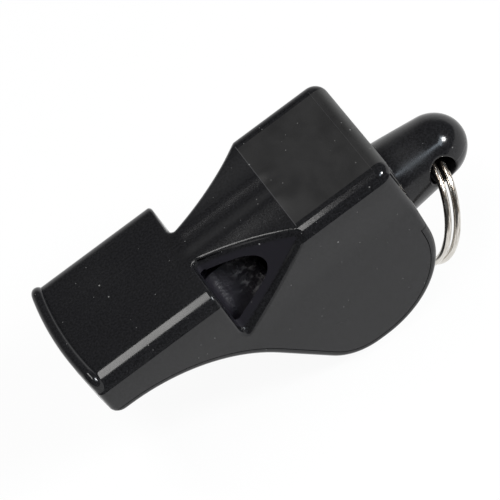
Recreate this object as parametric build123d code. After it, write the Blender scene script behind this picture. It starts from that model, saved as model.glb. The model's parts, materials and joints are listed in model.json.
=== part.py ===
from build123d import *
import math
import os

# Pealess sports whistle: two welded mouldings and a split ring. Millimetres, +Z up.
# While the pieces are modelled, X runs from the front of the mouthpiece to the tip of the stem,
# Y is across the whistle and Z is 0 on the flat top. The last step moves the origin.

# Whole whistle
overall_length = 57.0      # front of the mouthpiece to the tip of the stem
stem_length = 11.3         # rear wall to the tip of the stem
body_length = overall_length - stem_length
body_width = 19.6
body_height = 26.5         # flat top to the lowest point of the belly
lip_top_radius = 2.0       # edges of the flat top, on the mouthpiece
block_top_radius = 1.5     # and on the block behind the windows
side_edge_radius = 0.8     # the other edges of the two sides
lip_edge_radius = 1.6      # lower front edge of the mouthpiece
rear_corner_radius = 2.2   # upright rear corners, at the flat top
rear_corner_drop = 11.0    # flat top to where those corners have narrowed to the other side edges
rear_corner_runout = 0.1   # how much narrower still their cut ends, inside the edges' own round

# Side outline
lip_height = 7.05          # depth of the mouthpiece
ramp_angle = 53.6          # slope of the underside behind the mouthpiece, degrees
throat_radius = 22.6       # hollow curve from the mouthpiece into the ramp
breast_radius = 7.9        # round curve from the ramp into the belly
belly_flat = 1.0           # straight stretch between that curve and the round of the barrel
barrel_radius = 11.89      # round curve from the belly into the rear wall

# Mouthpiece front and its bite bead, a roll that stands proud by its radius
front_radius = 50.0        # curve of the front seen from above
bead_radius = 0.8
bead_inset = 0.05          # from the roll to the front and the sides
bead_turn = 1.4            # bend of the roll's middle line, down into the corners
bead_leg = 1.5             # straight end of the roll inside a corner

# Window pockets in the two upper edges
block_length = 13.2        # from the pockets' rear end to the rear wall
pocket_length = 13.2
pocket_x = body_length - block_length - pocket_length
pocket_top_depth = 7.1     # reach across the flat top at the front wall
pocket_side_depth = 10.0   # reach down the side at the front wall
pocket_end_depth = 0.8
pocket_top_bulge = 0.75    # how far the ramp swells at mid length, on the top and on the side
pocket_side_bulge = 0.4
pocket_corner = 0.7        # round between front wall and ramp
pocket_edge = 0.5          # round of the edge round the pocket

# Walls of the two sound chambers
side_wall = 1.5
roof = 1.4
web = 1.8                  # wall between the chambers
rear_wall = 1.5
chamber_start = 0.15       # chamber front behind the pocket's front wall
chamber_round = 3.0        # upper outer edge of a chamber
chamber_corner = 1.8       # upright corner between web and chamber front

# Windways through the mouthpiece
windway_gap = 1.1
windway_step = 0.1         # from the pocket's deep line out to the windway
windway_roof = 1.3         # flat top to the windway's upper end
windway_floor = 0.8        # material left under the windway
core_wall = 1.2            # left round the hollow between the windways
core_front = 3.0           # front of that hollow
core_roof = 2.6            # flat top to the hollow

# Shelf under each window, from the chamber's front into its outer wall
shelf_step = 3.0           # inwards from the windway
shelf_thickness = 1.2
shelf_upper = 3.4          # down the slant from the flat top to its upper end
shelf_lower = 16.5         # and to its lower end, in the side wall
shelf_length = 7.0         # behind the pocket's front wall
shelf_round = 1.0          # outer rear edge
shelf_hollow = 1.4         # round between shelf and chamber front

# Base cover
base_thickness = 1.1
seam_gap = 0.1
tongue_drop = 13.1         # flat top to the upper edge of the rear tongue

# Recess left by the exchangeable panel of the mould
panel_overlap = 0.2        # from the pockets' rear end forwards
panel_rear_gap = 2.0
panel_width = 16.4
panel_depth = 0.05
panel_corner = 0.6

# Stem with its cross hole
stem_drop = 13.1           # flat top to the stem's axis
stem_root_radius = 5.15
stem_neck_radius = 4.3     # where the domed end starts
dome_length = 4.0
dome_shoulder = 2.0        # the two lengths that shape the dome's curve
dome_nose = 2.4
hole_back = 5.5            # stem tip to the hole's axis
hole_radius = 1.95
hole_edge = 0.3

# Split ring
ring_outer_diameter = 17.7
wire_diameter = 0.9
turn_gap = 0.44            # free space between the two turns
jog_angle = 22.0           # half of the stretch in which the wire changes layer, degrees
end_angle = 6.0            # from the jog on to each cut end, degrees
ring_seat = 0.6            # middle of the wire, off the hole's axis
ring_clearance = 1.37      # between the turns and the round of the barrel, towards which the ring leans

margin = 1.0               # how far cutting shapes run past what they cut
tolerance = 0.001          # for picking edges by their place


def fitted_barrel_radius():
    """Radius of the barrel, limited by the rear wall under the tongue's upper edge."""
    return min(barrel_radius, body_height - tongue_drop - margin)


def underside(inset):
    """Corners and radii of the underside from lip to rear wall, moved inwards by inset."""
    angle = math.radians(ramp_angle)
    share = math.tan(angle / 2)
    barrel = fitted_barrel_radius()
    breast_x = body_length - barrel - belly_flat - breast_radius * share
    throat_x = breast_x - (body_height - lip_height) / math.tan(angle)
    throat = min(throat_radius, throat_x / share)
    shift = inset * share
    corners = [
        (throat_x + shift, inset - lip_height),
        (breast_x + shift, inset - body_height),
        (body_length - inset, inset - body_height),
    ]
    radii = [throat + inset, breast_radius - inset, barrel - inset]
    return corners, radii


def above_underside(inset, upper_corners):
    """Everything between the inset underside and the upper corners, wider than the body."""
    corners, radii = underside(inset)
    front = (-margin, corners[0][1])
    line = FilletPolyline(front, *corners, upper_corners[0], radius=radii)
    closing = Polyline(*upper_corners, front)
    face = make_face(Plane.XZ * (line + closing))
    return extrude(face, amount=body_width, both=True)


def plan_arc(offset, half):
    """Front of the mouthpiece from above, moved back by offset, as wide as half on each side."""
    sag = front_radius - math.sqrt(front_radius**2 - half**2)
    return ThreePointArc((offset + sag, -half), (offset, 0), (offset + sag, half))


def plan_solid(front, rear_x, bottom_z, top_z):
    """Prism between a front arc and a straight rear, as wide as the arc."""
    first = front @ 0
    last = front @ 1
    sides = Polyline((last.X, last.Y), (rear_x, last.Y), (rear_x, first.Y), (first.X, first.Y))
    return extrude(Plane.XY.offset(bottom_z) * make_face(front + sides), amount=top_z - bottom_z)


def edges_at(shape, axis, value):
    """Edges whose middle lies at a value along an axis."""
    return shape.edges().filter_by_position(axis, value - tolerance, value + tolerance)


def outer_block():
    """The outside of the body, all edges but those of the flat top rounded."""
    half = body_width / 2
    prism = above_underside(0, [(body_length, 0), (-margin, 0)])
    plan = plan_solid(plan_arc(0, half), body_length + margin, -body_height - margin, margin)
    block = prism & plan
    block = fillet(edges_at(block, Axis.Z, -lip_height).group_by(Axis.X)[0], lip_edge_radius)
    sides = edges_at(block, Axis.Y, half) + edges_at(block, Axis.Y, -half)
    below = sides.filter_by_position(Axis.Z, -body_height - margin, -tolerance)
    return fillet(below, side_edge_radius)


def corner_spandrel(radius, z):
    """What a round of this radius takes off the rear corner on the +Y side, seen from above."""
    half = body_width / 2
    arc = CenterArc((body_length - radius, half - radius), radius, 0, 90)
    beyond = Polyline(
        (body_length - radius, half),
        (body_length - radius, half + margin),
        (body_length + margin, half + margin),
        (body_length + margin, half - radius),
        (body_length, half - radius),
    )
    return Plane.XY.offset(z) * make_face(arc + beyond)


def round_top(block, low_x, high_x, radius):
    """The stretch of the block between two places along X, the outer edges of its flat top rounded."""
    size = (high_x - low_x, body_width + margin, body_height + margin)
    stretch = block & Pos(low_x, 0, 0) * Box(*size, align=(Align.MIN, Align.CENTER, Align.MAX))
    flat_edges = edges_at(stretch, Axis.Z, 0)
    outer = [edge for edge in flat_edges if low_x + tolerance < edge.center().X < high_x - tolerance]
    return fillet(outer, radius)


def rounded_block():
    """The outside of the body with its upright rear corners and the edges of its flat top rounded."""
    block = outer_block()
    upper = corner_spandrel(rear_corner_radius, 0)
    lower = corner_spandrel(side_edge_radius - rear_corner_runout, -rear_corner_drop)
    cutter = loft([upper, lower], ruled=True)
    for corner in (cutter, mirror(cutter, Plane.XZ)):
        block -= corner
    meeting_x = pocket_x + pocket_length / 4     # the step there goes when the pockets are cut
    lip = round_top(block, -margin, meeting_x, lip_top_radius)
    return lip + round_top(block, meeting_x, body_length + margin, block_top_radius)


def bead_end(place, direction):
    """Bend and straight leg in which the middle line of the roll goes down into a corner."""
    down = Vector(0, 0, -1)
    turned = place + (direction + down) * bead_turn
    return [TangentArc(place, turned, tangent=direction), Line(turned, turned + down * bead_leg)]


def bite_bead():
    """Rolled rim across the front of the mouthpiece, bent down into its two front corners."""
    inset = bead_radius + bead_inset
    front = plan_arc(inset, body_width / 2 - inset - bead_turn)
    first = bead_end(front @ 0, -(front % 0))
    last = bead_end(front @ 1, front % 1)
    path = Wire([*first, front, *last])
    return sweep(Plane(path @ 0, z_dir=path % 0) * Circle(bead_radius), path=path)


def pocket_solid():
    """One window pocket, on the +Y side: an upright front wall and a ramp that swells slightly."""
    half = body_width / 2
    middle_top = (pocket_top_depth + pocket_end_depth) / 2 + pocket_top_bulge
    middle_side = (pocket_side_depth + pocket_end_depth) / 2 + pocket_side_bulge
    stations = [
        (pocket_x, pocket_top_depth, pocket_side_depth),
        (pocket_x + pocket_length / 2, middle_top, middle_side),
        (pocket_x + pocket_length, pocket_end_depth, pocket_end_depth),
    ]
    top = [(x, half - across - margin * across / down, margin) for x, across, down in stations]
    side = [(x, half + margin, -down - margin * down / across) for x, across, down in stations]
    ramp = Face.make_surface_from_curves(ThreePointArc(*top), ThreePointArc(*side))
    pocket = Solid.extrude(ramp, Vector(0, body_width, body_width))
    inner_edge = ramp.edges().sort_by(Axis.X)[0]
    return pocket.fillet(pocket_corner, [edge for edge in pocket.edges() if same_place(edge, inner_edge)])


def same_place(edge, other):
    return (edge.center() - other.center()).length < tolerance


def is_pocket_rim(edge):
    """True for the edges in which a pocket meets the top, the side or the rounded edge between them."""
    place = edge.center()
    half = body_width / 2
    if not pocket_x - tolerance < place.X < pocket_x + pocket_length:
        return False
    on_top = abs(place.Z) < tolerance
    on_side = abs(abs(place.Y) - half) < tolerance and place.Z > -pocket_side_depth
    on_round = abs(place.Y) > half - lip_top_radius and place.Z > -lip_top_radius
    return on_top or on_side or on_round


def build_outside():
    """Outside of both mouldings in one piece, without the stem."""
    shape = rounded_block() + bite_bead()
    pocket = pocket_solid()
    for cutter in (pocket, mirror(pocket, Plane.XZ)):
        shape -= cutter
    return fillet(shape.edges().filter_by(is_pocket_rim), pocket_edge)


def above_seam(inset, drop):
    """Space above the seam: the inset underside, then out over the top of the rear tongue."""
    beyond = body_length + margin
    top = bead_radius + margin
    corners = [(body_length - inset, -drop), (beyond, -drop), (beyond, top), (-margin, top)]
    return above_underside(inset, corners)


def chamber():
    """Sound chamber on the +Y side with its shelf left standing, open at the bottom for the base cover."""
    front_x = pocket_x + chamber_start
    rear_x = body_length - base_thickness - rear_wall
    inner_y = web / 2
    outer_y = body_width / 2 - side_wall
    size = (rear_x - front_x, outer_y - inner_y, body_height + margin - roof)
    block = Pos(front_x, inner_y, -body_height - margin) * Box(*size, align=(Align.MIN,) * 3)
    upper = edges_at(block, Axis.Y, outer_y).filter_by(Axis.X).sort_by(Axis.Z)[-1]
    block = fillet(upper, chamber_round)
    upright = edges_at(block, Axis.Y, inner_y).filter_by(Axis.Z).sort_by(Axis.X)[0]
    return fillet(upright, chamber_corner) - jet_shelf()


def windway_y(z, offset):
    """Distance from the middle, at a height, of a line that lies offset outside the pocket's deep line."""
    slant = math.hypot(pocket_top_depth, pocket_side_depth) / pocket_side_depth
    return body_width / 2 - pocket_top_depth - z * pocket_top_depth / pocket_side_depth + offset * slant


def windway():
    """Slanted slot from the front of the mouthpiece to the pocket on the +Y side."""
    top_z = -windway_roof
    low_z = base_thickness + windway_floor - lip_height
    near = windway_step
    far = windway_step + windway_gap
    corners = [(top_z, near), (top_z, far), (low_z, far), (low_z, near)]
    outline = Polyline(*[(windway_y(z, offset), z) for z, offset in corners], close=True)
    return extrude(Plane.YZ.offset(-margin) * make_face(outline), amount=pocket_x + 2 * margin)


def jet_shelf():
    """Slanted shelf under the window on the +Y side, with a hollow curve up to the chamber's front."""
    outer = windway_step - shelf_step
    inner = outer - shelf_thickness
    hollow_x = chamber_start + shelf_hollow
    round_x = shelf_length - shelf_round
    outline = [
        CenterArc((hollow_x, outer + shelf_hollow), shelf_hollow, 180, 90),
        Line((hollow_x, outer), (round_x, outer)),
        CenterArc((round_x, outer - shelf_round), shelf_round, 90, -90),
        Polyline(
            (shelf_length, outer - shelf_round),
            (shelf_length, inner),
            (0, inner),
            (0, outer + shelf_hollow),
            (chamber_start, outer + shelf_hollow),
        ),
    ]
    deep_line = (pocket_x, body_width / 2 - pocket_top_depth, 0)
    slant = Plane(deep_line, x_dir=(1, 0, 0), z_dir=(0, -pocket_top_depth, pocket_side_depth))
    return extrude(slant.offset(-shelf_lower) * make_face(outline), amount=shelf_lower - shelf_upper)


def core_hollow():
    """Hollow between the windways that keeps the mouthpiece's walls even, open at the bottom."""
    half = windway_y(-windway_roof, windway_step) - core_wall
    length = pocket_x - core_wall - core_front
    place = Pos(core_front, 0, -core_roof)
    return place * Box(length, 2 * half, body_height, align=(Align.MIN, Align.CENTER, Align.MAX))


def panel_recess():
    """Shallow bare recess in the flat top of the rear block."""
    front_x = pocket_x + pocket_length - panel_overlap
    rear_x = body_length - panel_rear_gap
    outline = RectangleRounded(rear_x - front_x, panel_width, panel_corner)
    place = Pos((front_x + rear_x) / 2, 0, -panel_depth)
    return extrude(place * outline, amount=margin)


def build_stem():
    """Tapered stem with a domed end, from inside the rear wall to the tip."""
    root_x = body_length - base_thickness - rear_wall
    neck_x = overall_length - dome_length
    taper = (stem_root_radius - stem_neck_radius) / (neck_x - body_length)
    shoulder = (neck_x + dome_shoulder, stem_neck_radius - taper * dome_shoulder)
    tip = (overall_length, 0)
    dome = Bezier((neck_x, stem_neck_radius), shoulder, (overall_length, dome_nose), tip)
    sides = Polyline(
        tip,
        (root_x, 0),
        (root_x, stem_root_radius),
        (body_length, stem_root_radius),
        (neck_x, stem_neck_radius),
    )
    return Pos(0, 0, -stem_drop) * revolve(Plane.XZ * make_face(dome + sides), Axis.X)


def drill_stem(stem):
    """Cross hole for the ring, with rounded mouths."""
    hole_x = overall_length - hole_back
    drilled = stem - Pos(hole_x, 0, -stem_drop) * Rot(90, 0, 0) * Cylinder(hole_radius, body_width)
    mouths = ShapeList()
    for edge in drilled.edges():
        place = edge.center()
        on_wall = math.hypot(place.X - hole_x, place.Z + stem_drop) < hole_radius + tolerance
        if on_wall and edge.geom_type != GeomType.LINE:
            mouths.append(edge)
    return fillet(mouths, hole_edge)


def build_body(outside):
    """Upper moulding: mouthpiece, top, sides, rear wall and stem."""
    body = outside & above_seam(base_thickness, tongue_drop)
    for cutter in (chamber(), windway()):
        body -= cutter
        body -= mirror(cutter, Plane.XZ)
    body -= core_hollow()
    body -= panel_recess()
    return body + drill_stem(build_stem())


def build_base(outside):
    """Lower moulding: floor of the mouthpiece, belly and the tongue that covers the rear wall."""
    base = outside - above_seam(base_thickness - seam_gap, tongue_drop + seam_gap)
    place = Pos(body_length, 0, -stem_drop) * Rot(0, 90, 0)
    return base - place * Cylinder(stem_root_radius + seam_gap, 4 * base_thickness)


def half_turns(centre, radius, start_angle, sweep_angle):
    """Two arcs, one after the other, that make up one turn of the wire."""
    return [CenterArc(centre, radius, start_angle + n * sweep_angle, sweep_angle) for n in (0, 1)]


def ring_path():
    """Middle of the wire: one turn, a jog to the other layer made of two arcs, and a second turn."""
    radius = (ring_outer_diameter - wire_diameter) / 2
    rise = (wire_diameter + turn_gap) / 2
    sweep_angle = (360 - 2 * jog_angle - end_angle) / 2
    first = half_turns((0, 0, -rise), radius, jog_angle + end_angle, sweep_angle)
    second = half_turns((0, 0, rise), radius, jog_angle, sweep_angle)
    crossing = (math.hypot(radius, rise), 0, 0)
    climb = TangentArc(first[-1] @ 1, crossing, tangent=first[-1] % 1)
    settle = TangentArc(crossing, second[0] @ 0, tangent=climb % 1)
    return Wire([*first, climb, settle, *second])


def least_gap(path):
    """Least free space between two stretches of the wire that lie more than four diameters apart."""
    steps = 400
    points = [path @ (n / steps) for n in range(steps + 1)]
    apart = math.ceil(4 * wire_diameter / path.length * steps)
    pairs = [(p - q).length for n, p in enumerate(points) for q in points[n + apart:]]
    return min(pairs) - wire_diameter


def ring_angle():
    """Lean of the ring from +X about the hole's axis: down, until its turns come near the barrel."""
    barrel = fitted_barrel_radius()
    across = body_length - barrel - (overall_length - hole_back)
    down = barrel - body_height + stem_drop
    reach = barrel + wire_diameter + turn_gap / 2 + ring_clearance
    return math.atan2(down, across) + math.asin(reach / math.hypot(across, down))


def build_ring():
    """Split ring of two turns, hanging through the stem's hole."""
    path = ring_path()
    print("split ring: least gap to itself", round(least_gap(path), 3), "mm")
    wire = sweep(Plane(path @ 0, z_dir=path % 0) * Circle(wire_diameter / 2), path=path)
    angle = ring_angle()
    print("split ring: leans at", round(math.degrees(angle), 2), "degrees from +X")
    offset = (ring_outer_diameter - wire_diameter) / 2 - ring_seat
    centre = (
        overall_length - hole_back + offset * math.cos(angle),
        0,
        offset * math.sin(angle) - stem_drop,
    )
    return Plane(centre, x_dir=(0, 1, 0), z_dir=(-math.sin(angle), 0, math.cos(angle))) * wire


outside = build_outside()
pieces = {
    "body_shell": build_body(outside),
    "base_cover": build_base(outside),
    "split_ring": build_ring(),
}
box = Compound([solid for piece in pieces.values() for solid in piece.solids()]).bounding_box()
origin = Pos(-box.center().X, 0, -box.min.Z)
print("origin moved by", origin.position)
os.makedirs("parts", exist_ok=True)
for name, piece in pieces.items():
    export_step(origin * piece, f"parts/{name}.step")
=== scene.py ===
import json
import math
from types import SimpleNamespace

import bpy
from mathutils import Matrix, Vector


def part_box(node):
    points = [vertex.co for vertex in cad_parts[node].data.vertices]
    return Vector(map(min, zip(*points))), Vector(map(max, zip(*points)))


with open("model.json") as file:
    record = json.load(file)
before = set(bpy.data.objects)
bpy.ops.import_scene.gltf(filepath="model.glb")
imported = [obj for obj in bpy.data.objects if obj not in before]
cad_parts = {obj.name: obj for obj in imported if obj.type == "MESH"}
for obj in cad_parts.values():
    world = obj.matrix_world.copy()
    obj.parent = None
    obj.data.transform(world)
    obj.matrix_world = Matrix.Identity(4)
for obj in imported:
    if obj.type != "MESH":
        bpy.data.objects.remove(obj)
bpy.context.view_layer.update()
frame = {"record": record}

MM = 0.001
NOISE_SPAN = (0.3, 0.75)      # low and high values of a noise

# Places on the whistle, in metres in the frame of the CAD
BEAD_RISE = 0.8 * MM       # bite bead over the flat top
TOP_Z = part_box("body_shell")[1].z - BEAD_RISE      # flat top
STEM_Z = TOP_Z - 13.1 * MM      # middle of the stem
REAR_X = 17.2 * MM         # rear wall, where the stem starts
WAIST_X = -9.2 * MM        # front of the waist between the two window pockets
BLOCK_X = 3.8 * MM         # front of the block's top, behind the pockets
BLOCK_HALF = 7.75 * MM     # half the width of its matt part
PANEL_X = (3.8 * MM, 15.2 * MM)      # recess left in that top by an insert of the mould
PANEL_HALF = 8.2 * MM
BURR_HALF = 0.03 * MM      # half the width of the burr along that recess
SIDE_Y = 9.0 * MM          # inside the outer sides
LIP_ROUND = 2.0 * MM       # radius of the upper side edges, on the mouthpiece
BLOCK_ROUND = 1.5 * MM     # and on the block
HOLE_X = 23.0 * MM         # cross hole of the stem
POCKET_Y = 2.7 * MM        # deepest line of a pocket, where it meets the flat top
POCKET_SLANT = Vector((0.0, 10.0, 7.1)).normalized()      # square to that line, outwards

# Colours of the black plastic, among them painted sheen and painted highlights
BLACK_DARK = (0.0052, 0.0052, 0.0058, 1.0)      # the polished black is speckled with these two
BLACK_LIGHT = (0.0112, 0.0112, 0.0124, 1.0)
MATT_BLACK = (0.0120, 0.0118, 0.0120, 1.0)
# lighter violet on the pocket faces: painted sheen
POCKET_PAINTED_SHEEN = (0.0128, 0.0121, 0.0154, 1.0)
# lighter violet on the shelf and walls seen through the windows: painted sheen
CHAMBER_PAINTED_SHEEN = (0.0132, 0.0120, 0.0163, 1.0)
# grey on the rounded rear edge of the block's top: painted highlight
REAR_EDGE_PAINTED_HIGHLIGHT = (0.037, 0.037, 0.036, 1.0)
# light grey on the torn plastic inside the windows: painted glints
FLASH_PAINTED_GLINTS = (0.120, 0.116, 0.124, 1.0)
# grey along the burr of the recess: painted highlight line
BURR_PAINTED_HIGHLIGHT = (0.070, 0.070, 0.072, 1.0)
DUST_GREY = (0.20, 0.20, 0.195, 1.0)

# Gloss of the black plastic: a pair goes from clean to smudged, and an extra is added
ABS_IOR = 1.39
POLISHED_ROUGHNESS = (0.14, 0.22)
STEM_ROUGHNESS = (0.12, 0.16)
WORN_ROUGHNESS = 0.09
MATT_EXTRA = (0.16, 0.30)       # between the clouds and in them
CHAMBER_EXTRA = 0.26
RUBBED_EXTRA = 0.12
SCRATCH_EXTRA = 0.08
DUST_EXTRA = 0.4

# Plated wire
PLATING_DARK = (0.62, 0.59, 0.54, 1.0)
PLATING_LIGHT = (0.80, 0.78, 0.74, 1.0)
# brown of tarnish, and on the half near the stem painted dark reflection of the whistle
STAIN_AND_PAINTED_REFLECTION_BROWN = (0.19, 0.15, 0.115, 1.0)
PLATING_ROUGHNESS = (0.07, 0.20)
STAIN_EXTRA = 0.16
LINE_FINENESS = 7000.0     # drawing lines per metre across the wire
LINE_BREAKS = 5.0          # and per radian along it

# Floor and room
FLOOR_HALF = 3.0
FLOOR_PAPER = (0.85, 0.85, 0.85, 1.0)
FLOOR_WHITENESS = 0.94     # share of plain white in what the camera and reflections see
WHITE = (1.0, 1.0, 1.0, 1.0)
ROOM_LEVEL = (0.09, 0.10)      # in front of the whistle and behind it

# Lamps
LAMP_TARGET = Vector((0.0, 0.0, 0.02))      # what the lamps on the stem's side face
OVERHEAD_HEIGHT = 0.6      # over the flat top
OVERHEAD_X = (-0.12, 0.0245)
OVERHEAD_Y = (-0.36, 0.24)
OVERHEAD_BRIGHTNESS = 9.3
OVERHEAD_COLOUR = (1.0, 0.99, 0.975)
SIDE_LAMP_OFFSET = Vector((0.664, -0.494, 0.556)) * 0.8
SIDE_LAMP_SIZE = (0.19, 0.19)
SIDE_LAMP_BRIGHTNESS = 56.0
SHEET_OFFSET = Vector((0.53, -0.55, 0.645)) * 0.9
SHEET_SIZE = (0.45, 0.22)
SHEET_BRIGHTNESS = 7.0
SHEET_COLOUR = (0.78, 0.89, 1.0)

# Camera, fitted to the outline of the whistle in the photograph
CAMERA_TARGET = Vector((-2.377 * MM, 0.0, TOP_Z - 8.029 * MM))
CAMERA_DISTANCE = 329.3 * MM
CAMERA_ELEVATION = math.radians(49.38)
CAMERA_AZIMUTH = math.radians(-0.345)
CAMERA_ROLL = math.radians(36.30)
CAMERA_LENS = 189.4
CAMERA_NEAR = 10.0 * MM
SENSOR = 36.0


class Nodes:
    """A short way to write a node tree."""

    def __init__(self, tree):
        self.tree = tree
        tree.nodes.clear()

    def add(self, kind, settings=None, **inputs):
        """A new node. An underscore in the name of an input stands for a space."""
        node = self.tree.nodes.new(kind)
        for name, value in (settings or {}).items():
            setattr(node, name, value)
        for name, value in inputs.items():
            self.put(node.inputs[name.replace("_", " ")], value)
        return node

    def put(self, socket, value):
        """Link an output to the socket, or set the socket to a plain value."""
        if isinstance(value, bpy.types.NodeSocket):
            self.tree.links.new(value, socket)
        else:
            socket.default_value = value

    def math(self, operation, first, second=0.0, clamp=False):
        node = self.add("ShaderNodeMath", {"operation": operation, "use_clamp": clamp})
        self.put(node.inputs[0], first)
        self.put(node.inputs[1], second)
        return node.outputs[0]

    def plus(self, first, second, clamp=False):
        return self.math("ADD", first, second, clamp)

    def minus(self, first, second):
        return self.math("SUBTRACT", first, second)

    def times(self, first, *others):
        product = first
        for other in others:
            product = self.math("MULTIPLY", product, other)
        return product

    def larger(self, first, second):
        return self.math("MAXIMUM", first, second)

    def absolute(self, value):
        return self.math("ABSOLUTE", value)

    def spread(self, value, low, high, to_low, to_high):
        """A smooth step: to_low where value is under low, to_high where it is over high."""
        node = self.add("ShaderNodeMapRange", {"interpolation_type": "SMOOTHSTEP"})
        for socket, number in zip(node.inputs, (value, low, high, to_low, to_high)):
            self.put(socket, number)
        return node.outputs[0]

    def rise(self, value, low, high):
        """0 where value is under low, 1 where it is over high."""
        return self.spread(value, low, high, 0.0, 1.0)

    def fall(self, value, low, high):
        """1 where value is under low, 0 where it is over high."""
        return self.spread(value, low, high, 1.0, 0.0)

    def between(self, value, low, high, soft):
        """1 where value is from low to high, with soft ends."""
        return self.times(
            self.rise(value, low - soft, low + soft),
            self.fall(value, high - soft, high + soft),
        )

    def vector(self, operation, first, second=(0.0, 0.0, 0.0)):
        node = self.add("ShaderNodeVectorMath", {"operation": operation})
        self.put(node.inputs[0], first)
        self.put(node.inputs[1], second)
        return node.outputs["Value" if operation in ("DOT_PRODUCT", "LENGTH") else "Vector"]

    def combined(self, x, y, z):
        return self.add("ShaderNodeCombineXYZ", X=x, Y=y, Z=z).outputs[0]

    def object_place(self):
        return self.add("ShaderNodeTexCoord").outputs["Object"]

    def axes(self, vector):
        return self.add("ShaderNodeSeparateXYZ", Vector=vector).outputs

    def stretched(self, vector, scale, turn=(0.0, 0.0, 0.0)):
        return self.add("ShaderNodeMapping", Vector=vector, Scale=scale, Rotation=turn).outputs[0]

    def noise(self, vector, scale, detail=3.0, roughness=0.6):
        node = self.add("ShaderNodeTexNoise", Vector=vector, Scale=scale, Detail=detail,
                        Roughness=roughness)
        return node.outputs[0]

    def bump(self, height, strength, distance, normal=None):
        node = self.add("ShaderNodeBump", Height=height, Strength=strength, Distance=distance)
        if normal is not None:
            self.put(node.inputs["Normal"], normal)
        return node.outputs[0]

    def blend(self, factor, first, second):
        """A colour: first where factor is 0, second where it is 1."""
        node = self.add("ShaderNodeMix", {"data_type": "RGBA"})
        self.put(node.inputs[0], factor)
        self.put(node.inputs[6], first)
        self.put(node.inputs[7], second)
        return node.outputs[2]


def new_material(name):
    material = bpy.data.materials.new(name)
    material.use_nodes = True
    return material, Nodes(material.node_tree)


def close_material(nodes, shader):
    output = nodes.add("ShaderNodeOutputMaterial")
    nodes.tree.links.new(shader.outputs[0], output.inputs["Surface"])


def scratch_lines(nodes, place, turn, fineness):
    """Thin broken lines, 1 on a scratch and 0 elsewhere."""
    across = nodes.stretched(place, (90.0, fineness, 90.0), (0.0, 0.0, turn))
    lines = nodes.noise(across, scale=1.0, detail=0.0, roughness=0.5)
    thin = nodes.fall(nodes.absolute(nodes.minus(lines, 0.5)), 0.0, 0.010)
    stretches = nodes.rise(nodes.noise(place, scale=170.0, detail=1.0, roughness=0.5), 0.58, 0.70)
    return nodes.times(thin, stretches)


def specks(nodes, place, scale, size, left_out):
    """Small round spots, 1 on a spot and 0 elsewhere. left_out is the share of cells without one."""
    cells = nodes.add("ShaderNodeTexVoronoi", Vector=place, Scale=scale)
    spot = nodes.fall(cells.outputs["Distance"], 0.5 * size, size)
    kept = nodes.rise(nodes.axes(cells.outputs["Color"])[0], left_out, left_out + 0.01)
    return nodes.times(spot, kept)


def block_top(nodes, x, y, z):
    """1 on the flat top of the rear block, which came off a matt insert of the mould."""
    return nodes.times(
        nodes.between(x, BLOCK_X, REAR_X + 0.1 * MM, soft=0.05 * MM),
        nodes.between(y, -BLOCK_HALF, BLOCK_HALF, soft=0.1 * MM),
        nodes.rise(z, TOP_Z - 1.6 * MM, TOP_Z - 1.2 * MM),
    )


def panel_line(nodes, x, y, z):
    """Thin burr along the recess in the block's top, lightened as a painted highlight line: 1 at its
    front and less at its rear.
    """
    front, rear = [
        nodes.between(x, end - BURR_HALF, end + BURR_HALF, soft=BURR_HALF)
        for end in PANEL_X
    ]
    return nodes.times(
        nodes.plus(front, nodes.times(rear, 0.4)),
        nodes.between(y, -PANEL_HALF, PANEL_HALF, soft=0.1 * MM),
        nodes.rise(z, TOP_Z - 0.3 * MM, TOP_Z - 0.2 * MM),
    )


def side_crease(nodes, x, y, z):
    """Swelling of the rounded upper edges, which end in a crease where they meet the sides."""
    round_depth = nodes.spread(x, WAIST_X, BLOCK_X, LIP_ROUND, BLOCK_ROUND)
    down = nodes.math("DIVIDE", nodes.minus(TOP_Z, z), round_depth)
    lower_half = nodes.math("DIVIDE", nodes.minus(down, 0.5), 0.5, clamp=True)
    return nodes.times(
        nodes.math("POWER", lower_half, 2.0),
        nodes.fall(down, 1.0, 6.0),
        nodes.rise(nodes.absolute(y), SIDE_Y, SIDE_Y + 0.3 * MM),
    )


def worn_edge(nodes, x, y, z):
    """1 on the rounded upper side edges of the block, where hands have polished it."""
    return nodes.times(
        nodes.rise(nodes.absolute(y), SIDE_Y - 0.8 * MM, SIDE_Y - 0.4 * MM),
        nodes.between(x, BLOCK_X - 2.0 * MM, REAR_X + 0.1 * MM, soft=0.1 * MM),
        nodes.rise(z, TOP_Z - 2.2 * MM, TOP_Z - 1.6 * MM),
    )


def chamber_wall(nodes, x, y, z):
    """1 on what is seen through a window: the shelf and the walls round it."""
    outward = nodes.times(nodes.minus(nodes.absolute(y), POCKET_Y), POCKET_SLANT.y)
    upward = nodes.times(nodes.minus(z, TOP_Z), POCKET_SLANT.z)
    return nodes.times(
        nodes.fall(nodes.plus(outward, upward), -0.4 * MM, -0.2 * MM),
        nodes.between(x, WAIST_X - 0.05 * MM, REAR_X - 2.0 * MM, soft=0.05 * MM),
        nodes.fall(z, TOP_Z - 1.4 * MM, TOP_Z - 1.2 * MM),
        nodes.between(y, -SIDE_Y, SIDE_Y, soft=0.1 * MM),
    )


def pocket_faces(nodes, x, y, z):
    """1 on the faces of the two window pockets, inside their rounded rims, where a painted violet
    sheen goes.
    """
    return nodes.times(
        nodes.between(x, WAIST_X, BLOCK_X, soft=0.1 * MM),
        nodes.between(y, -SIDE_Y, SIDE_Y, soft=0.2 * MM),
        nodes.fall(z, TOP_Z - 0.9 * MM, TOP_Z - 0.5 * MM),
    )


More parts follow.
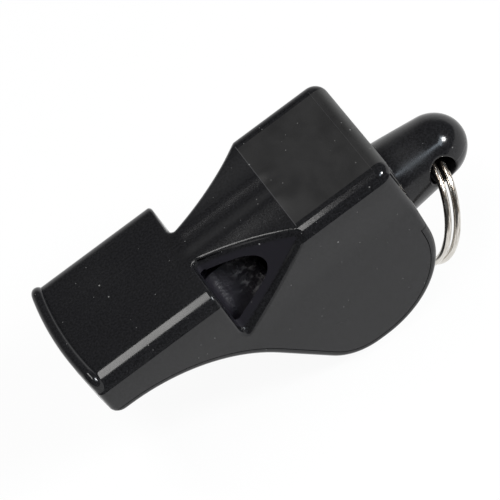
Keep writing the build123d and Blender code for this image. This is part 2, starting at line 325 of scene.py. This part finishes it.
def waist_sink(nodes, x, y, z):
    """Shallow hollow that the cooling plastic left over the wall between the two chambers."""
    across = nodes.absolute(y)
    hollow = nodes.rise(across, 0.0, 2.8 * MM)
    slope = nodes.rise(y, -9.0 * MM, -1.0 * MM)
    return nodes.times(
        nodes.plus(hollow, slope),
        nodes.fall(across, 1.5 * MM, PANEL_HALF),
        nodes.rise(x, WAIST_X - 1.5 * MM, WAIST_X + 1.5 * MM),
        nodes.fall(x, BLOCK_X, BLOCK_X + 5.0 * MM),
        nodes.rise(z, TOP_Z - 0.3 * MM, TOP_Z - 0.1 * MM),
    )


def rubbed_stem(nodes, x):
    """1 where the ring rubs the stem, in front of the cross hole."""
    return nodes.times(
        nodes.rise(x, REAR_X, HOLE_X - 3.0 * MM),
        nodes.fall(x, HOLE_X - 1.5 * MM, HOLE_X + 1.0 * MM),
    )


def parting_line(nodes, x, z):
    """1 on the line along the stem's end where the halves of the mould met."""
    return nodes.times(
        nodes.between(z, STEM_Z - 0.05 * MM, STEM_Z + 0.05 * MM, soft=0.05 * MM),
        nodes.rise(x, HOLE_X, HOLE_X + 2.0 * MM),
    )


def plastic_regions(nodes, place, smudges_fine, windows):
    """Where the surface differs from plain polished black, in its moulding and in painted sheen and
    highlights: each value is 0 outside its place.
    """
    x, y, z = nodes.axes(place)
    matt = block_top(nodes, x, y, z)
    inner = nodes.times(chamber_wall(nodes, x, y, z), windows)
    ragged = nodes.rise(smudges_fine, 0.50, 0.64)
    return SimpleNamespace(
        matt=matt,
        # rounded rear edge of the block's top, which gets a painted highlight
        painted_rear_highlight=nodes.times(matt, nodes.rise(x, REAR_X - 1.6 * MM, REAR_X - 0.4 * MM)),
        inner=inner,
        torn=nodes.times(inner, nodes.spread(x, WAIST_X + 2.0 * MM, WAIST_X + 5.5 * MM, 0.35, 1.0)),
        # torn plastic inside the windows, which gets painted glints
        flash_painted_glints=nodes.times(inner, nodes.rise(x, WAIST_X + 2.8 * MM, WAIST_X + 4.2 * MM), ragged),
        pocket=nodes.times(pocket_faces(nodes, x, y, z), windows),
        burr=panel_line(nodes, x, y, z),
        worn=worn_edge(nodes, x, y, z),
        sink=waist_sink(nodes, x, y, z),
        crease=side_crease(nodes, x, y, z),
        rubbed=rubbed_stem(nodes, x),
        parting=parting_line(nodes, x, z),
        scratches=nodes.larger(
            scratch_lines(nodes, place, turn=0.35, fineness=3400.0),
            scratch_lines(nodes, place, turn=-0.6, fineness=2700.0),
        ),
        dust=nodes.larger(
            nodes.times(specks(nodes, place, scale=1000.0, size=0.09, left_out=0.6), 0.55),
            specks(nodes, place, scale=420.0, size=0.055, left_out=0.5),
        ),
    )


def plastic_roughness(nodes, place, regions):
    """The body's roughness and the stem's, with scratches and dust on both."""
    smudges = nodes.noise(place, scale=140.0)
    clouds = nodes.noise(nodes.stretched(place, (1.0, 0.6, 1.0)), scale=330.0)
    clouded = nodes.spread(clouds, 0.3, 0.7, *MATT_EXTRA)
    body = nodes.spread(smudges, *NOISE_SPAN, *POLISHED_ROUGHNESS)
    body = nodes.plus(body, nodes.times(regions.matt, clouded))
    body = nodes.spread(regions.worn, 0.0, 1.0, body, WORN_ROUGHNESS)
    body = nodes.plus(body, nodes.times(regions.inner, CHAMBER_EXTRA))
    stem = nodes.spread(smudges, *NOISE_SPAN, *STEM_ROUGHNESS)
    stem = nodes.plus(stem, nodes.times(regions.rubbed, RUBBED_EXTRA))
    x = nodes.axes(place)[0]
    both = nodes.spread(x, REAR_X, REAR_X + 0.3 * MM, body, stem)
    both = nodes.plus(both, nodes.times(regions.scratches, SCRATCH_EXTRA))
    return nodes.plus(both, nodes.times(regions.dust, DUST_EXTRA), clamp=True)


def plastic_normal(nodes, place, regions, smudges_fine, skin):
    """The normal, bent by each small form in turn."""
    grain = nodes.times(nodes.noise(place, scale=5200.0, detail=2.0, roughness=0.5), regions.matt)
    normal = nodes.bump(regions.sink, strength=1.0, distance=0.26 * MM)
    normal = nodes.bump(regions.crease, strength=1.0, distance=0.24 * MM, normal=normal)
    normal = nodes.bump(skin, strength=0.07, distance=0.02 * MM, normal=normal)
    normal = nodes.bump(grain, strength=0.4, distance=0.02 * MM, normal=normal)
    ragged = nodes.times(smudges_fine, regions.torn)
    normal = nodes.bump(ragged, strength=1.0, distance=0.5 * MM, normal=normal)
    normal = nodes.bump(regions.scratches, strength=0.10, distance=0.01 * MM, normal=normal)
    normal = nodes.bump(regions.burr, strength=0.5, distance=0.03 * MM, normal=normal)
    return nodes.bump(regions.parting, strength=0.8, distance=0.04 * MM, normal=normal)


def plastic_colour(nodes, regions, skin):
    colour = nodes.blend(nodes.rise(skin, 0.34, 0.66), BLACK_DARK, BLACK_LIGHT)
    colour = nodes.blend(regions.matt, colour, MATT_BLACK)
    # painted violet sheen on the pocket faces
    colour = nodes.blend(regions.pocket, colour, POCKET_PAINTED_SHEEN)
    # painted violet sheen inside the windows
    colour = nodes.blend(regions.inner, colour, CHAMBER_PAINTED_SHEEN)
    # painted highlight along the rear edge of the block
    colour = nodes.blend(regions.painted_rear_highlight, colour, REAR_EDGE_PAINTED_HIGHLIGHT)
    # painted glints on the torn plastic inside the windows
    colour = nodes.blend(regions.flash_painted_glints, colour, FLASH_PAINTED_GLINTS)
    # painted highlight line along the burr of the recess
    colour = nodes.blend(regions.burr, colour, BURR_PAINTED_HIGHLIGHT)
    return nodes.blend(regions.dust, colour, DUST_GREY)


def moulded_black(name, windows):
    """Glossy black ABS: polished mould, matt insert, a stem rubbed by its ring, scratches and dust,
    with painted sheen and glints in the windows and painted highlights on the block.

    windows is 1 for a moulding with sound windows and 0 for one without.
    """
    material, nodes = new_material(name)
    place = nodes.object_place()
    smudges_fine = nodes.noise(place, scale=900.0)
    skin = nodes.noise(place, scale=3600.0)
    regions = plastic_regions(nodes, place, smudges_fine, windows)
    shader = nodes.add(
        "ShaderNodeBsdfPrincipled",
        Base_Color=plastic_colour(nodes, regions, skin),
        Roughness=plastic_roughness(nodes, place, regions),
        Normal=plastic_normal(nodes, place, regions, smudges_fine, skin),
        IOR=ABS_IOR,
    )
    close_material(nodes, shader)
    return material


def along_wire(nodes, place):
    """Distance from the loop's middle, height over its plane and angle round it.

    The angle is 0 furthest from the stem.
    """
    loop = next(mount for mount in frame["record"]["mounts"] if mount["name"] == "lanyard_loop")
    axis = Vector(loop["axis"])
    across = Vector((0.0, 1.0, 0.0))
    offset = nodes.vector("SUBTRACT", place, loop["pos_m"])
    height = nodes.vector("DOT_PRODUCT", offset, axis)
    away = nodes.vector("DOT_PRODUCT", offset, across.cross(axis))
    sideways = nodes.vector("DOT_PRODUCT", offset, across)
    radius = nodes.vector("LENGTH", nodes.combined(away, sideways, 0.0))
    return radius, height, nodes.math("ARCTAN2", sideways, away)


def plated_wire(name):
    """Nickel-plated spring wire with drawing lines and patchy plating; brown tarnish in streaks, much
    stronger on the half near the stem as painted dark reflection of the whistle.
    """
    material, nodes = new_material(name)
    place = nodes.object_place()
    radius, height, angle = along_wire(nodes, place)
    drawn = nodes.combined(
        nodes.times(radius, LINE_FINENESS),
        nodes.times(height, LINE_FINENESS),
        nodes.times(angle, LINE_BREAKS),
    )
    lines = nodes.noise(drawn, scale=1.0)
    wear = nodes.noise(place, scale=700.0)
    # brown tarnish streaks everywhere at a low level, at full strength near the stem as painted dark
    # reflection
    near_stem = nodes.spread(nodes.absolute(angle), 1.2, 2.3, 0.15, 1.0)
    stain_and_painted_reflection = nodes.times(nodes.rise(lines, 0.45, 0.60), near_stem)
    roughness = nodes.spread(wear, *NOISE_SPAN, *PLATING_ROUGHNESS)
    plating = nodes.blend(wear, PLATING_DARK, PLATING_LIGHT)
    shader = nodes.add(
        "ShaderNodeBsdfPrincipled",
        Base_Color=nodes.blend(stain_and_painted_reflection, plating, STAIN_AND_PAINTED_REFLECTION_BROWN),
        Metallic=1.0,
        Roughness=nodes.plus(roughness, nodes.times(stain_and_painted_reflection, STAIN_EXTRA)),
        Normal=nodes.bump(lines, strength=0.20, distance=0.02 * MM),
    )
    close_material(nodes, shader)
    return material


def dress(node, material):
    """Give every slot of a piece the same material."""
    for slot in bpy.data.objects[node].material_slots:
        slot.material = material


def floor_white():
    """Pale paper that looks white to the camera and in reflections, and keeps a faint shadow."""
    material, nodes = new_material("floor_white")
    seen = nodes.add("ShaderNodeLightPath").outputs
    shown = nodes.larger(seen["Is Camera Ray"], seen["Is Glossy Ray"])
    shown = nodes.larger(shown, seen["Is Transmission Ray"])
    paper = nodes.add("ShaderNodeBsdfDiffuse", Color=FLOOR_PAPER)
    white = nodes.add("ShaderNodeEmission", Color=WHITE, Strength=1.0)
    mix = nodes.add("ShaderNodeMixShader")
    nodes.put(mix.inputs[0], nodes.times(shown, FLOOR_WHITENESS))
    nodes.put(mix.inputs[1], paper.outputs[0])
    nodes.put(mix.inputs[2], white.outputs[0])
    close_material(nodes, mix)
    return material


def white_floor():
    corners = [(-FLOOR_HALF, -FLOOR_HALF, 0), (FLOOR_HALF, -FLOOR_HALF, 0),
               (FLOOR_HALF, FLOOR_HALF, 0), (-FLOOR_HALF, FLOOR_HALF, 0)]
    mesh = bpy.data.meshes.new("floor")
    mesh.from_pydata(corners, [], [(0, 1, 2, 3)])
    mesh.materials.append(floor_white())
    floor = bpy.data.objects.new("floor", mesh)
    bpy.context.collection.objects.link(floor)


def studio_world():
    """A dim room, white below the horizon and up a sweep behind the whistle."""
    world = bpy.data.worlds.new("studio")
    world.use_nodes = True
    bpy.context.scene.world = world
    nodes = Nodes(world.node_tree)
    x, y, z = nodes.axes(nodes.add("ShaderNodeTexCoord").outputs["Generated"])
    beside = nodes.times(nodes.larger(x, 0.0), 0.25)
    behind = nodes.larger(nodes.minus(y, beside), 0.0)
    sweep_start = nodes.minus(nodes.times(behind, 0.10), 0.05)
    sweep_end = nodes.plus(nodes.times(behind, 0.95), 0.03)
    room = nodes.spread(y, -0.4, 0.1, *ROOM_LEVEL)
    level = nodes.spread(z, sweep_start, sweep_end, 1.0, room)
    background = nodes.add("ShaderNodeBackground", Color=WHITE, Strength=level)
    output = nodes.add("ShaderNodeOutputWorld")
    nodes.put(output.inputs["Surface"], background.outputs[0])


def softbox(name, middle, towards, size, brightness, colour=(1.0, 1.0, 1.0), shape="RECTANGLE"):
    """A flat lamp that faces a point, with its power in proportion to its brightness and its area."""
    width, height = size
    area = width * height * (math.pi / 4 if shape == "ELLIPSE" else 1.0)
    lamp = bpy.data.lights.new(name, "AREA")
    lamp.color = colour
    lamp.shape = shape
    lamp.size = width
    lamp.size_y = height
    lamp.energy = brightness * math.pi * area
    holder = bpy.data.objects.new(name, lamp)
    holder.location = middle
    holder.rotation_euler = (towards - middle).to_track_quat("-Z", "Y").to_euler()
    bpy.context.collection.objects.link(holder)


def lights():
    """A long box overhead, a round lamp on the stem's side and a wide cool sheet above that lamp."""
    middle = Vector((sum(OVERHEAD_X) / 2, sum(OVERHEAD_Y) / 2, TOP_Z + OVERHEAD_HEIGHT))
    below = Vector((middle.x, middle.y, 0.0))
    overhead_size = (OVERHEAD_X[1] - OVERHEAD_X[0], OVERHEAD_Y[1] - OVERHEAD_Y[0])
    softbox("overhead_box", middle, below, overhead_size, OVERHEAD_BRIGHTNESS, OVERHEAD_COLOUR)
    softbox("side_lamp", LAMP_TARGET + SIDE_LAMP_OFFSET, LAMP_TARGET, SIDE_LAMP_SIZE,
            SIDE_LAMP_BRIGHTNESS, shape="ELLIPSE")
    softbox("side_sheet", LAMP_TARGET + SHEET_OFFSET, LAMP_TARGET, SHEET_SIZE, SHEET_BRIGHTNESS,
            SHEET_COLOUR)


def camera():
    azimuth, elevation, roll = CAMERA_AZIMUTH, CAMERA_ELEVATION, CAMERA_ROLL
    back = Vector((
        math.sin(azimuth) * math.cos(elevation),
        -math.cos(azimuth) * math.cos(elevation),
        math.sin(elevation),
    ))
    right = Vector((math.cos(azimuth), math.sin(azimuth), 0.0))
    up = back.cross(right)
    side = math.cos(roll) * right - math.sin(roll) * up
    upward = math.sin(roll) * right + math.cos(roll) * up
    data = bpy.data.cameras.new("camera")
    data.lens = CAMERA_LENS
    data.sensor_width = SENSOR
    data.clip_start = CAMERA_NEAR
    holder = bpy.data.objects.new("camera", data)
    turn = Matrix((side, upward, back)).transposed().to_4x4()
    holder.matrix_world = Matrix.Translation(CAMERA_TARGET + back * CAMERA_DISTANCE) @ turn
    bpy.context.collection.objects.link(holder)
    bpy.context.scene.camera = holder


dress("body_shell", moulded_black("black_abs_body", 1.0))
dress("base_cover", moulded_black("black_abs_base", 0.0))
dress("split_ring", plated_wire("nickel_wire"))
white_floor()
studio_world()
lights()
camera()
bpy.context.scene.view_settings.view_transform = "Standard"
